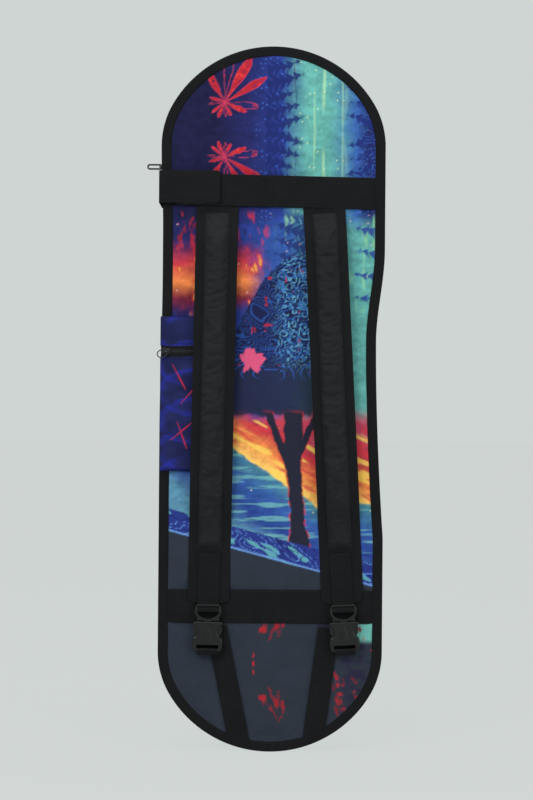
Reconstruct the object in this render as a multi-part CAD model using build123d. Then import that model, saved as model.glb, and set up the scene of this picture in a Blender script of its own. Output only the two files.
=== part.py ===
from build123d import *
import math
import os

# A padded board bag with a backpack harness, in millimetres. Every piece is built in
# a local frame: x across the bag, y up its length, z from the rear face (0) to the
# front. FRONTAL turns that frame so the bag stands with +Z up and its harness at -Y.
FRONTAL = Plane(origin=(0, 0, 0), x_dir=(1, 0, 0), z_dir=(0, -1, 0))

# bag shell
HEIGHT = 840.0
WIDTH = 267.0
DEPTH = 72.0
END_RISE = 119.0
SHOULDER_R = 100.0
WAIST_IN = 9.0
WAIST_LOW = -140.0
WAIST_Y = 50.0
WAIST_HIGH = 165.0
BINDING_W = 12.0
BINDING_T = 3.6
BINDING_PROUD = 1.0
WALL_T = 1.0
PANEL_T = 1.2
FOAM_T = 5.0
LINING_T = 0.8
SPRING_Y = HEIGHT / 2 - END_RISE
WALL_X = WIDTH / 2 - BINDING_W

# bands and straps
BAND_Y = 247.0
BAND_H = 38.0
LOWER_BAND_H = 40.0
WEB_T = 1.6
ANCHOR_T = 2.2
STRAP_W = 50.0
STRAP_TOP_Y = 223.0
STRAP_L = 466.0
STRAP_RISE = 15.5
STRAP_LOW = 2.0
PAD_W = 26.0
PAD_T = 6.0
PAD_L = 400.0
PAD_TOP = 12.0
STRAP_LIFT = 40.0
STRAP_DROP = (325.0, 385.0)
STRAP_R = 8.0
COVER_T = 1.2
PATCH_W = 25.0
PATCH_L = 60.0
ANCHOR_L = 35.0
STRAPS = {"left": (-66.0, -0.9), "right": (61.0, 3.1)}
LOWER_WEB_W = 25.0
LOWER_WEB_TOP = {"left": (-64.0, -274.0), "right": (70.0, -274.0)}
LOWER_WEB_FOOT = {"left": (-38.0, -397.0), "right": (54.0, -390.0)}

# side-release buckle, in its own frame: y 0 at its top edge, running down
BUCKLE_Z = 9.4
MALE_W = 32.0
MALE_T = 4.6
FRAME_L = 20.0
SLOT_W = 26.0
BAR_T = 3.0
LOOP_T = 1.3
FEMALE_W = 36.0
FEMALE_T = 10.0
FEMALE_TOP = -20.6
FEMALE_END = -56.0
CAVITY_W = 28.4
CAVITY_T = 5.4
CAVITY_END = -46.0
TONGUE_W = 8.0
TONGUE_L = 26.0
BAR_TOP = -5.5
BAR_FOOT = -8.6
FEMALE_BAR = -52.4
ROOT_IN, ROOT_OUT, ROOT_Y = 9.6, 12.8, -20.5
FIT = 0.05

# zips
ZIP_HALF_W = 15.0
COIL_GAP = 0.6
COIL_W = 2.2
COIL_T = 2.8
TAPE_T = 0.8
SLIDER_Y = 279.0
STOP_L = 3.0
SEAM = 0.05
SLIDER_W = 9.2
SLIDER_L = 14.0
SLIDER_R = 2.4
PLATE_Z = 1.8
PLATE_T = 1.8
RAIL_X = 3.9
RAIL_W = 1.2
RAIL_L = 9.0
WEB_HALF_W = 0.4
WEB_SPAN = (1.5, 6.5)
BRIDGE_W = 3.2
BRIDGE_L = 11.0
BRIDGE_Z = 7.2
BRIDGE_T = 1.4
LINK_L = 10.0
LINK_Z = 5.5
LINK_W = 7.4
LINK_WINDOW = 4.6
EYELET_L = 19.0
EYELET_W = 7.0
PULL_T = 1.6

# closing flap
FLAP_T = 1.8
FLAP_LOW = 232.0
FLAP_HIGH = 271.0
FLAP_END_X = -63.0
FLAP_X = -WIDTH / 2 - 0.7
FLAP_FOOT_Z = 2.4
HOOK_X = (-115.0, -67.0)
HOOK_IN = 4.0
PATCH_T = 1.0
GAP = 0.3

# pocket on the front
POCKET_LEFT = -133.0
POCKET_RIGHT = -54.0
POCKET_TOP = 97.5
POCKET_FOOT = -86.5
POCKET_BASE = 1.2
POCKET_D = 7.2
POCKET_ZIP_Y = 56.0
POCKET_ZIP_HALF = 7.0
POCKET_SKIN = 1.0
POCKET_SLIDER_X = -126.0
POCKET_R = 4.0
RING_W = 8.4
RING_L = 11.1
RING_LEAN = 122.0
SMALL = 0.75


def box(x0, x1, y0, y1, z0, z1):
    """A block between two corners."""
    return Pos((x0 + x1) / 2, (y0 + y1) / 2, (z0 + z1) / 2) * Box(x1 - x0, y1 - y0, z1 - z0)


def slab(face, z0, z1):
    """A flat face made into a plate from z0 to z1."""
    return Pos(0, 0, z0) * extrude(face, z1 - z0)


def symmetric_face(right):
    """A face with this chain of edges on its right, its mirror image on its left."""
    across = [Line((-p.X, p.Y), (p.X, p.Y)) for p in (right[0] @ 0, right[-1] @ 1)]
    left = [edge.mirror(Plane.YZ) for edge in right]
    return make_face([*right, *left, *across])


def outline(inset):
    """The bag's outline, moved inwards: a three-centred arch at each end, the right side drawn in."""
    half, rise, r = WIDTH / 2 - inset, END_RISE - inset, SHOULDER_R - inset
    crown = ((half - r) ** 2 + rise**2 - r**2) / (2 * (rise - r))
    turn = math.degrees(math.atan2(crown - rise, half - r))
    edges = [
        Line((half, -SPRING_Y), (half, WAIST_LOW)),
        ThreePointArc((half, WAIST_LOW), (half - WAIST_IN, WAIST_Y), (half, WAIST_HIGH)),
        Line((half, WAIST_HIGH), (half, SPRING_Y)),
    ]
    for side, first in ((1, 0), (-1, 180)):
        y = side * SPRING_Y
        edges += [
            CenterArc((side * (half - r), y), r, first, turn),
            CenterArc((0, y + side * (rise - crown)), crown, first + turn, 180 - 2 * turn),
            CenterArc((-side * (half - r), y), r, first + 180 - turn, turn),
        ]
    edges.append(Line((-half, SPRING_Y), (-half, -SPRING_Y)))
    return Face(Wire(edges))


def panels():
    """Each face of the bag: printed or plain cloth outside, foam, then lining."""
    face = outline(BINDING_W + WALL_T)
    parts = {}
    z = 0.0
    for layer, t in (("panel", PANEL_T), ("foam", FOAM_T), ("lining", LINING_T)):
        parts[f"rear_{layer}"] = slab(face, z, z + t)
        parts[f"front_{layer}"] = slab(face, DEPTH - z - t, DEPTH - z)
        z += t
    return parts


def gusset():
    """The side wall, sewn from five strips, with a slot on the left for the zip."""
    wall = slab(outline(BINDING_W) - outline(BINDING_W + WALL_T), 0, DEPTH)
    mid, far = DEPTH / 2, HEIGHT
    return {
        "gusset_top": wall & box(-far, far, SPRING_Y, far, 0, DEPTH),
        "gusset_bottom": wall & box(-far, far, -far, -SPRING_Y, 0, DEPTH),
        "gusset_right": wall & box(0, far, -SPRING_Y, SPRING_Y, 0, DEPTH),
        "gusset_left_rear": wall & box(-far, 0, -SPRING_Y, SPRING_Y, 0, mid - ZIP_HALF_W),
        "gusset_left_front": wall & box(-far, 0, -SPRING_Y, SPRING_Y, mid + ZIP_HALF_W, DEPTH),
    }


def bindings():
    """Bound seam allowances that stand out round the front and the rear panel."""
    ring = outline(0) - outline(BINDING_W)
    front = DEPTH + BINDING_PROUD
    return {
        "front_binding": slab(ring, front - BINDING_T, front),
        "rear_binding": slab(ring, 0, BINDING_T),
    }


def zip_chain(length, half_w, size=1.0):
    """Half a closed zip, along y, facing z: its tape, its coil and the two end stops."""
    inner, outer = COIL_GAP * size, (COIL_GAP + COIL_W) * size
    tape_half, coil_half = TAPE_T / 2 * size, COIL_T / 2 * size
    stop_l = STOP_L * size
    tape = box(outer + SEAM, half_w, -length / 2, length / 2, -tape_half, tape_half)
    run = length / 2 - 2 * stop_l
    coil = box(inner, outer, -run, run, -coil_half, coil_half)
    stop = box(inner, outer, 0, stop_l, -coil_half, coil_half)
    stops = Pos(0, run, 0) * stop + Pos(0, -run - stop_l, 0) * stop
    return tape, coil, stops


def slider(size=1.0):
    """A zip slider, along y, facing z: two plates, rails, the web between them and a bridge."""
    inner, outer = PLATE_Z * size, (PLATE_Z + PLATE_T) * size
    plan = RectangleRounded(SLIDER_W * size, SLIDER_L * size, SLIDER_R * size)
    body = slab(plan, inner, outer) + slab(plan, -outer, -inner)
    rail = Box(RAIL_W * size, RAIL_L * size, PLATE_Z * size)
    leg_t, low, high = BRIDGE_T * size, BRIDGE_Z * size, (BRIDGE_Z + BRIDGE_T) * size
    leg = box(-BRIDGE_W * size / 2, BRIDGE_W * size / 2, 0, leg_t, inner, high - leg_t / 2)
    for side in (-1, 1):
        body += Pos(side * RAIL_X * size, 0, inner) * rail
        body += Pos(0, side * (BRIDGE_L * size / 2 - leg_t) - leg_t / 2, 0) * leg
    half, (y0, y1) = WEB_HALF_W * size, WEB_SPAN
    body += box(-half, half, y0 * size, y1 * size, -outer, outer)
    return body + slab(RectangleRounded(BRIDGE_W * size, BRIDGE_L * size, leg_t), low, high)


def pull_link():
    """The small link on a slider's bridge: one crossbar at z 0, the other at LINK_L."""
    inner = RectangleRounded(LINK_WINDOW, LINK_L - PULL_T, 0.6)
    plan = RectangleRounded(LINK_W, LINK_L + PULL_T, PULL_T) - inner
    return Rot(90, 0, 0) * Pos(0, LINK_L / 2, -PULL_T / 2) * extrude(plan, PULL_T)


def eyelet_pull():
    """The long flat eyelet on the link: its hole takes the link's outer crossbar."""
    rim = 2.0
    hole = SlotOverall(EYELET_L - 2 * rim, EYELET_W - 2 * rim, rotation=90)
    plate = extrude(SlotOverall(EYELET_L, EYELET_W, rotation=90) - hole, PULL_T)
    middle = LINK_L + EYELET_L / 2 - rim - PULL_T
    return Rot(0, 90, 0) * Rot(0, 0, 90) * Pos(0, middle, -PULL_T / 2) * plate


def ring_pull():
    """A bent wire ring: its crossbar lies on x, and it runs out along z from the bar."""
    half, reach, wire = RING_W / 2, RING_L - RING_W / 2 + 0.6, 0.6
    bow = [
        Line((-half, 0), (half, 0)),
        Line((half, 0), (half, reach)),
        ThreePointArc((half, reach), (0, RING_L), (-half, reach)),
        Line((-half, reach), (-half, 0)),
    ]
    outer = Face(Wire(bow))
    frame = extrude(offset(outer, wire) - offset(outer, -wire), 2 * wire)
    return Rot(90, 0, 0) * Pos(0, 0, -wire) * frame


def zip_pair(place, piece):
    """A piece of one half of a zip and its twin on the other half."""
    twin = place * Rot(0, 0, 180) * piece
    return Compound(children=[*(place * piece).solids(), *twin.solids()])


def main_zip():
    """The long zip down the left wall, its slider and its puller."""
    mid = DEPTH / 2
    place = Pos(-WALL_X, 0, mid) * Rot(0, -90, 0)
    tape, coil, stops = zip_chain(2 * SPRING_Y, ZIP_HALF_W)
    bridge = Pos(-WALL_X - LINK_Z, SLIDER_Y, mid) * Rot(0, -90, 0)
    return {
        "main_zip_tape_front": place * tape,
        "main_zip_tape_rear": place * Rot(0, 0, 180) * tape,
        "main_zip_coil": zip_pair(place, coil),
        "main_zip_stops": zip_pair(place, stops),
        "main_zip_slider": Pos(0, SLIDER_Y, 0) * place * slider(),
        "main_zip_link": bridge * pull_link(),
        "main_zip_pull": bridge * eyelet_pull(),
    }


def bands():
    """Webbing bands across the front, and the patch that holds the flap."""
    top, low = BAND_Y + BAND_H / 2, BAND_Y - BAND_H / 2
    reach = WALL_X - HOOK_IN
    z = DEPTH + ANCHOR_T
    patch = box(*HOOK_X, low + HOOK_IN, top - HOOK_IN, z + WEB_T, z + WEB_T + PATCH_T)
    foot = -BAND_Y - LOWER_BAND_H / 2
    return {
        "top_band": box(-reach, reach, low, top, z, z + WEB_T),
        "flap_loop_patch": patch,
        "lower_band": box(-reach, reach, foot, foot + LOWER_BAND_H, DEPTH, DEPTH + WEB_T),
    }


def closing_flap():
    """The flap over the zip: one leg across the side, one leg on the front band."""
    z = DEPTH + ANCHOR_T + WEB_T + PATCH_T + GAP + PATCH_T
    outer = FLAP_X - FLAP_T
    front = box(outer, FLAP_END_X, FLAP_LOW, FLAP_HIGH, z, z + FLAP_T)
    ends = front.edges().filter_by(Axis.Z).group_by(Axis.X)[-1]
    low, high = FLAP_LOW + HOOK_IN, FLAP_HIGH - 2 * HOOK_IN
    return {
        "closing_flap_side": box(outer, FLAP_X, FLAP_LOW, FLAP_HIGH, FLAP_FOOT_Z, z - GAP),
        "closing_flap_front": fillet(ends, 6),
        "flap_hook_patch": box(*HOOK_X, low, high, z - PATCH_T, z),
    }


def pocket():
    """The flat zipped pocket: back, walls, lower front, hood and its zip."""
    z0 = DEPTH + POCKET_BASE
    z1 = z0 + POCKET_D
    skin, r = POCKET_SKIN, POCKET_R
    w, h = POCKET_RIGHT - POCKET_LEFT, POCKET_TOP - POCKET_FOOT
    middle = Pos((POCKET_LEFT + POCKET_RIGHT) / 2, (POCKET_TOP + POCKET_FOOT) / 2)
    plan = middle * RectangleRounded(w, h, r)
    inner = middle * RectangleRounded(w - 2 * skin, h - 2 * skin, r - skin)
    front = slab(plan, z1 - skin, z1)
    low, high = POCKET_ZIP_Y - POCKET_ZIP_HALF, POCKET_ZIP_Y + POCKET_ZIP_HALF
    far, zip_z = HEIGHT, z1 - skin / 2
    tape, coil, stops = zip_chain(w, POCKET_ZIP_HALF, SMALL)
    chain = Pos((POCKET_LEFT + POCKET_RIGHT) / 2, POCKET_ZIP_Y, zip_z) * Rot(0, 0, 90)
    at_slider = Pos(POCKET_SLIDER_X, POCKET_ZIP_Y, zip_z)
    hanging = Pos(0, 0, LINK_Z * SMALL) * Rot(0, 0, RING_LEAN) * Rot(-90, 0, 0)
    return {
        "pocket_back": slab(plan, z0, z0 + skin),
        "pocket_walls": slab(plan - inner, z0 + skin, z1 - skin),
        "pocket_front": front & box(-far, far, -far, low, 0, far),
        "pocket_hood": front & box(-far, far, high, far, 0, far),
        "pocket_zip_tapes": zip_pair(chain, tape),
        "pocket_zip_coil": zip_pair(chain, coil),
        "pocket_zip_stops": zip_pair(chain, stops),
        "pocket_zip_slider": at_slider * Rot(0, 0, 90) * slider(SMALL),
        "pocket_zip_pull": at_slider * hanging * ring_pull(),
    }


def strap_layer(width, y0, y1, z0, z1):
    """A layer of a strap: it lifts off the band, clears the pocket and lies flat again."""
    heights = [
        (0, STRAP_LOW),
        (-STRAP_LIFT, STRAP_RISE),
        (-STRAP_DROP[0], STRAP_RISE),
        (-STRAP_DROP[1], STRAP_LOW),
        (-STRAP_L, STRAP_LOW),
    ]
    rear = [(y, z + z0) for y, z in heights]
    front = [(y, z + z1) for y, z in reversed(heights)]
    side = Plane.YZ * make_face(Polyline(*rear, *front, close=True))
    return extrude(side, width / 2, both=True) & box(-width, width, y0, y1, -DEPTH, DEPTH)


def strap():
    """A padded shoulder strap, hanging from its top edge at y 0."""
    base = 2 * COVER_T
    foot = -PAD_L
    plan = Pos(0, -STRAP_L / 2) * RectangleRounded(STRAP_W, STRAP_L, STRAP_R)
    trim = slab(plan, -DEPTH, DEPTH)
    hat_w = PAD_W + 2 * COVER_T
    backing = strap_layer(STRAP_W, -STRAP_L, 0, 0, COVER_T) & trim
    foam = strap_layer(PAD_W, foot, -PAD_TOP, COVER_T, COVER_T + PAD_T)
    hat = strap_layer(hat_w, foot - COVER_T, -PAD_TOP + COVER_T, COVER_T, base + PAD_T)
    cover = (strap_layer(STRAP_W, -STRAP_L, 0, COVER_T, base) & trim) + hat - foam
    patch = strap_layer(PATCH_W, -STRAP_L, -STRAP_L + PATCH_L, base, base + WEB_T)
    return {"strap_backing": backing, "strap_foam": foam, "strap_cover": cover, "strap_patch": patch}


def buckle_male():
    """The inserted half: a D-shaped webbing frame, its shoulder and a guide tongue."""
    half, seat, foot = MALE_W / 2, CAVITY_W / 2 - 0.4, -FRAME_L - 0.2
    top, chin = (half - 3, 0), (half - 3.2, -16)
    frame = symmetric_face([ThreePointArc(top, (half, -9), chin), Line(chin, (seat, foot))])
    frame = extrude(fillet(frame.vertices(), 1), MALE_T)
    frame = fillet(frame.faces().sort_by(Axis.Z)[-1].edges(), 1)
    upper = Pos(0, -3.8) * RectangleRounded(SLOT_W, 3.4, 0.5)
    s, corner = SLOT_W / 2, -11
    lower = make_face(
        Line((-s, BAR_FOOT), (s, BAR_FOOT))
        + Line((s, BAR_FOOT), (s, corner))
        + ThreePointArc((s, corner), (0, -17.4), (-s, corner))
        + Line((-s, corner), (-s, BAR_FOOT))
    )
    low, high = (MALE_T - BAR_T) / 2, (MALE_T + BAR_T) / 2
    over_bar = box(-s, s, BAR_FOOT, BAR_TOP, -1, low) + box(-s, s, BAR_FOOT, BAR_TOP, high, MALE_T + 1)
    frame -= extrude(upper, MALE_T) + extrude(lower, MALE_T) + over_bar
    tongue = Pos(0, foot + 1.2 - TONGUE_L / 2) * RectangleRounded(TONGUE_W, TONGUE_L, 2)
    return Pos(0, 0, BUCKLE_Z - MALE_T / 2) * (frame + extrude(tongue, MALE_T))


def buckle_prong(side):
    """One sprung arm of the inserted half, with its barb and finger grip."""
    barb, grip, heel = (ROOT_OUT, -25.6), (16.4, -26.2), (13.2, -38.4)
    tip = (11.0, -38)
    arm = make_face(
        Line((ROOT_IN, ROOT_Y), (ROOT_OUT, ROOT_Y))
        + Line((ROOT_OUT, ROOT_Y), barb)
        + Line(barb, grip)
        + ThreePointArc(grip, (16.8, -31.5), heel)
        + ThreePointArc(heel, (12, -39.2), tip)
        + Line(tip, (ROOT_IN, ROOT_Y))
    )
    prong = Pos(0, 0, BUCKLE_Z - MALE_T / 2) * extrude(arm, MALE_T)
    return prong if side > 0 else mirror(prong, Plane.YZ)


def buckle_female():
    """The receiving half: a waisted sleeve, open at its top and sides, and a webbing bar."""
    half = FEMALE_W / 2
    lip, neck = (half - 2, FEMALE_TOP), (half - 1.6, -25.2)
    hip, foot = (half - 1.2, -39.5), (half - 2.6, FEMALE_END)
    plan = symmetric_face([
        ThreePointArc(lip, (half - 0.4, -22.6), neck),
        ThreePointArc(neck, (11.8, -31.5), hip),
        ThreePointArc(hip, (half, -47), foot),
    ])
    body = extrude(plan, FEMALE_T)
    body = fillet(body.faces().sort_by(Axis.Z)[-1].edges(), 1.6)
    cavity = box(-CAVITY_W / 2, CAVITY_W / 2, CAVITY_END, 0, 0, CAVITY_T)
    window = box(-half - 1, half + 1, hip[1] - 0.7, neck[1], 0, CAVITY_T)
    slot_top = -48.0
    slot = box(-SLOT_W / 2, SLOT_W / 2, FEMALE_BAR, slot_top, 0, FEMALE_T)
    body -= Pos(0, 0, (FEMALE_T - CAVITY_T) / 2) * (cavity + window) + slot
    ends = (Pos(0, -27) * Circle(1.4)).edges() + (Pos(0, -41) * Circle(5)).edges()
    crest = slab(make_hull(ends), FEMALE_T - 0.2, FEMALE_T + 0.8)
    body += fillet(crest.faces().sort_by(Axis.Z)[-1].edges(), 0.6)
    return Pos(0, 0, BUCKLE_Z - FEMALE_T / 2) * body


def loop_round(y0, y1, z0, z1):
    """Webbing wrapped round a bar whose section is y0..y1 by z0..z1, open for the bar."""
    t = LOOP_T
    half = SLOT_W / 2 - 0.6
    outer = box(-half, half, y0 - t, y1 + t, z0 - t, z1 + t)
    return outer - box(-half, half, y0, y1, z0, z1)


def buckle():
    """Both halves of a buckle, closed, with the webbing round each bar."""
    bar, female = BAR_T / 2 + FIT, FEMALE_T / 2 + FIT
    male_bar = (BAR_FOOT - FIT, BAR_TOP + FIT, BUCKLE_Z - bar, BUCKLE_Z + bar)
    female_bar = (FEMALE_END - FIT, FEMALE_BAR + FIT, BUCKLE_Z - female, BUCKLE_Z + female)
    return {
        "buckle_male": buckle_male(),
        "male_loop": loop_round(*male_bar),
        "prong_left": buckle_prong(-1),
        "prong_right": buckle_prong(1),
        "buckle_female": buckle_female(),
        "female_loop": loop_round(*female_bar),
    }


def harness():
    """Both straps with their anchors, buckles and lower webbings."""
    parts = {}
    for side, (x, splay) in STRAPS.items():
        place = Pos(x, STRAP_TOP_Y, DEPTH) * Rot(0, 0, splay)
        tab = box(-STRAP_W / 2, STRAP_W / 2, 1, 1 + ANCHOR_L, 0, ANCHOR_T)
        parts[f"{side}_strap_anchor"] = place * tab
        for name, piece in strap().items():
            parts[f"{side}_{name}"] = place * piece
        for name, piece in buckle().items():
            parts[f"{side}_{name}"] = place * Pos(0, -STRAP_L - 0.8, 0) * piece
        parts[f"{side}_lower_webbing"] = lower_webbing(side)
    return parts


def lower_webbing(side):
    """The webbing from the bottom seam up to behind the buckle."""
    top, foot = Vector(*LOWER_WEB_TOP[side]), Vector(*LOWER_WEB_FOOT[side])
    run = top - foot
    lean = math.degrees(math.atan2(run.Y, run.X)) - 90
    middle = (top + foot) / 2
    strip = Pos(middle.X, middle.Y) * Rectangle(LOWER_WEB_W, run.length, rotation=lean)
    inside = slab(outline(BINDING_W + 0.2), 0, 2 * DEPTH)
    return slab(strip, DEPTH, DEPTH + WEB_T) & inside


def main():
    parts = {}
    for make in (panels, gusset, bindings, main_zip, bands, closing_flap, pocket, harness):
        parts |= make()
    os.makedirs("parts", exist_ok=True)
    for name, shape in parts.items():
        export_step(FRONTAL * shape, f"parts/{name}.step")


main()
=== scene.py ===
import math

import bpy
import numpy as np
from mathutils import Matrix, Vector

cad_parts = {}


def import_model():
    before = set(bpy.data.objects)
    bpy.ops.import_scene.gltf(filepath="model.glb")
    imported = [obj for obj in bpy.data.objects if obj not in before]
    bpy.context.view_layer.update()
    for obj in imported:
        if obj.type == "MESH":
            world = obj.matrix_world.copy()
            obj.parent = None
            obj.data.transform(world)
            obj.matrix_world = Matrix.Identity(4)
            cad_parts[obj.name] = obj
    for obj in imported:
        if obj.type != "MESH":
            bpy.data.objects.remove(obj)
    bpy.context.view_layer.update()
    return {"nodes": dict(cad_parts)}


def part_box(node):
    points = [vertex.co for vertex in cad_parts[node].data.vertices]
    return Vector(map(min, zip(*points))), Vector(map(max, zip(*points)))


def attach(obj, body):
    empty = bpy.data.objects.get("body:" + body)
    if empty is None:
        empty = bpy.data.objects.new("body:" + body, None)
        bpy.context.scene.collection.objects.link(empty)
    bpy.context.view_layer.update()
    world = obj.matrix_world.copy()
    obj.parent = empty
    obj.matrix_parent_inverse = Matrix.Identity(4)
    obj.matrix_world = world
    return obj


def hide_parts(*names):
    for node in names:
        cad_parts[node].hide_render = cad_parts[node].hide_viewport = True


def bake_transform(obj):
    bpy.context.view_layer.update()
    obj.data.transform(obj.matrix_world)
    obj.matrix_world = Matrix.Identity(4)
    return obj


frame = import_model()

# Every piece is laid out in three distances in metres: x across the bag, up from the
# middle of its height, and out in front of the rear face (which is at y 0).
MM = 0.001
LEFT, OUT, UP = (-1, 0, 0), (0, -1, 0), (0, 0, 1)


def span(node):
    """(left, right, low, high, rear, front) of a CAD node."""
    lo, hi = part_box(node)
    return lo.x, hi.x, lo.z, hi.z, -hi.y, -lo.y


# driving dimensions, read from the frame
HALF, TOP, RIM = (span("front_binding")[i] for i in (1, 3, 5))
DEPTH = span("front_panel")[5]
SPRING = span("gusset_top")[2]
WALL = -span("gusset_left_front")[0]
BINDING_W = HALF - WALL
BINDING_T = span("rear_binding")[5]
SHOULDER = 100 * MM
RISE = TOP - SPRING
BAND_LOW, BAND_HIGH, BAND_REAR, BAND_FRONT = span("top_band")[2:]
_, _, LOWER_LOW, LOWER_HIGH, _, LOWER_FRONT = span("lower_band")
WEB_T = LOWER_FRONT - DEPTH
WEB_W = 25 * MM
STRAP_W = 50 * MM
STRAP_TOP = 223 * MM
STRAP_L = 466 * MM
STRAP_LIFT = 15.5 * MM
STRAP_LOW = 2 * MM
COVER_T = 1.2 * MM
PAD_HALF = 14.2 * MM
PAD_L = 400 * MM
PAD_T = 6 * MM
PATCH_TOP = 406 * MM
RISE_END = 40 * MM
SINK = (385 * MM, 325 * MM)
LOOP_W = 24 * MM
LOOP_T = 1.2 * MM
FLAP_T = 1.8 * MM
BUCKLE_MID = 9.4 * MM
STRAPS = {"left": (-66 * MM, -0.9), "right": (61 * MM, 3.1)}

# how the sewn outline differs from straight sides
WAIST = 9.7 * MM
WAIST_PEAK = 70 * MM
WAIST_ABOVE = 108 * MM
WAIST_BELOW = 235 * MM
SWAY = 2.5 * MM
BAND_SLOPE = -0.017

# camera: the height that it sees at the bag's face, its lens, where it looks and its tilt
VIEW_HEIGHT = 0.952
LENS = 100
AIM_X = -6.2 * MM
AIM_UP = -1.2 * MM
ROLL = -0.45
BACKGROUND = (0.624, 0.665, 0.651)


# ---------------------------------------------------------------- noise and colour


def lattice_noise(x, y, seed):
    """Smooth noise from 0 to 1 over the plane, one feature per unit."""
    table = np.random.default_rng(seed).random((64, 64))
    x0, y0 = np.floor(x).astype(int), np.floor(y).astype(int)
    u, v = x - x0, y - y0
    u, v = u * u * (3 - 2 * u), v * v * (3 - 2 * v)
    x0, y0, x1, y1 = x0 % 64, y0 % 64, (x0 + 1) % 64, (y0 + 1) % 64
    low = table[x0, y0] * (1 - u) + table[x1, y0] * u
    high = table[x0, y1] * (1 - u) + table[x1, y1] * u
    return low * (1 - v) + high * v


def layered_noise(x, y, seed, octaves=4):
    """Noise from -1 to 1 with finer detail in each octave."""
    total = sum(
        lattice_noise(x * 2**k, y * 2**k, seed + k) / 2**k for k in range(octaves)
    )
    return total / (1 - 0.5**octaves) - 1


def linear(rgb):
    """An sRGB colour, 0 to 255, as linear light."""
    c = np.asarray(rgb, float) / 255
    return np.where(c > 0.04045, ((c + 0.055) / 1.055) ** 2.4, c / 12.92)


def smooth(low, high, value):
    """0 below low, 1 above high, and smooth between them."""
    t = np.clip((value - low) / (high - low), 0, 1)
    return t * t * (3 - 2 * t)


def lay(colours, mask, rgb):
    """Paints one colour over the others where the mask is near 1."""
    mask = np.clip(mask, 0, 1)[:, None]
    return colours * (1 - mask) + linear(rgb) * mask


# ---------------------------------------------------------------- the print

INKS = {
    "night": (26, 27, 62), "indigo": (34, 38, 92), "royal": (40, 60, 138), "blue": (52, 90, 160),
    "steel": (88, 140, 168), "teal": (74, 134, 145), "mint": (96, 168, 160), "foam": (150, 200, 182),
    "lime": (170, 200, 125), "wine": (120, 36, 52), "crimson": (190, 56, 68), "rose": (178, 70, 96),
    "orange": (232, 132, 72), "yellow": (247, 202, 104), "shadow": (38, 42, 64),
}  # fmt: skip

# the ground under the drawn scenes: (place in millimetres, ink) along one direction each
FOREST_ACROSS = (
    (-70, "night"), (-30, "indigo"), (10, "royal"), (40, "mint"),
    (65, "mint"), (100, "blue"), (115, "indigo"),
)  # fmt: skip
GLADE_ACROSS = ((-100, "indigo"), (-30, "royal"), (20, "blue"), (45, "teal"), (115, "mint"))
FIRE_UP = ((120, "wine"), (140, "orange"), (160, "crimson"), (190, "indigo"))
SKY_OVER_SHORE = ((0, "yellow"), (25, "orange"), (50, "crimson"), (80, "rose"))
WATER_UNDER_SHORE = ((0, "teal"), (25, "blue"), (60, "royal"), (90, "steel"))
SLATE = (44, 51, 62)
MIRROR_UP = 320
LOW_MIRROR_UP = -315


def ramp(value, stops):
    """Inks blended along a value."""
    places = [place for place, _ in stops]
    inks = np.array([linear(INKS[ink]) for _, ink in stops])
    return np.stack([np.interp(value, places, inks[:, k]) for k in range(3)], 1)


def mix(colours, mask, others):
    """Colours that give way to others where the mask is near 1."""
    mask = np.clip(mask, 0, 1)[:, None]
    return colours * (1 - mask) + others * mask


def shore(x):
    """Height of the water's far edge, in millimetres."""
    return np.where(x > 70, -128 - 0.3 * (x - 112), -64 - 0.66 * (x + 41))


def lower_ground(x, y):
    """The soft ground of the lower scene: a glade, a fire at its left, and a low sun over water."""
    colours = ramp(x, GLADE_ACROSS)
    fire = smooth(-5, -35, x) * smooth(100, 125, y) * smooth(200, 170, y)
    colours = mix(colours, fire, ramp(y, FIRE_UP))
    low = smooth(-10, -30, y)
    over = y - shore(x)
    colours = mix(colours, low * smooth(-2, 2, over), ramp(over, SKY_OVER_SHORE))
    return mix(colours, low * smooth(2, -2, over), ramp(-over, WATER_UNDER_SHORE))


def petal(x, y, at, angle, length, width):
    """(inside, edge) masks of one leaf on a thin stem, broadest towards its tip."""
    c, s = math.cos(math.radians(angle)), math.sin(math.radians(angle))
    along = ((x - at[0]) * c + (y - at[1]) * s) / length
    across = -(x - at[0]) * s + (y - at[1]) * c
    held = (along > 0) * (along < 1)
    reach = width * np.sin(np.clip(along, 0, 1) ** 1.8 * math.pi) + 0.25
    inner = smooth(0.5, -0.5, np.abs(across) - reach) * held
    edge = smooth(0.7, 0.2, np.abs(np.abs(across) - reach)) * held
    return inner, edge


def leaf_fan(colours, x, y, at, size, seed):
    """A fan of red leaves round one point, longest up and to the right."""
    rng = np.random.default_rng(seed)
    patchy = layered_noise(x / 6, y / 6, seed)
    warp = 1.6 * layered_noise(x / 9, y / 9, seed + 3)
    for k in range(12):
        angle = 30 * k + rng.uniform(-9, 9)
        facing = max(0.0, math.cos(math.radians(angle - 55)))
        length = size * (0.32 + 0.85 * facing) * rng.uniform(0.85, 1.15)
        inner, edge = petal(x + warp, y + warp, at, angle, length, length * rng.uniform(0.05, 0.1))
        fill = inner * smooth(-0.3, 0.1, patchy + (0.3 if k % 3 else -0.5))
        colours = lay(colours, fill * 0.95, (178, 36, 48))
        colours = lay(colours, fill * smooth(0.1, 0.45, patchy) * 0.8, (226, 62, 58))
        colours = lay(colours, edge * 0.6, (200, 60, 92))
    return colours


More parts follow.
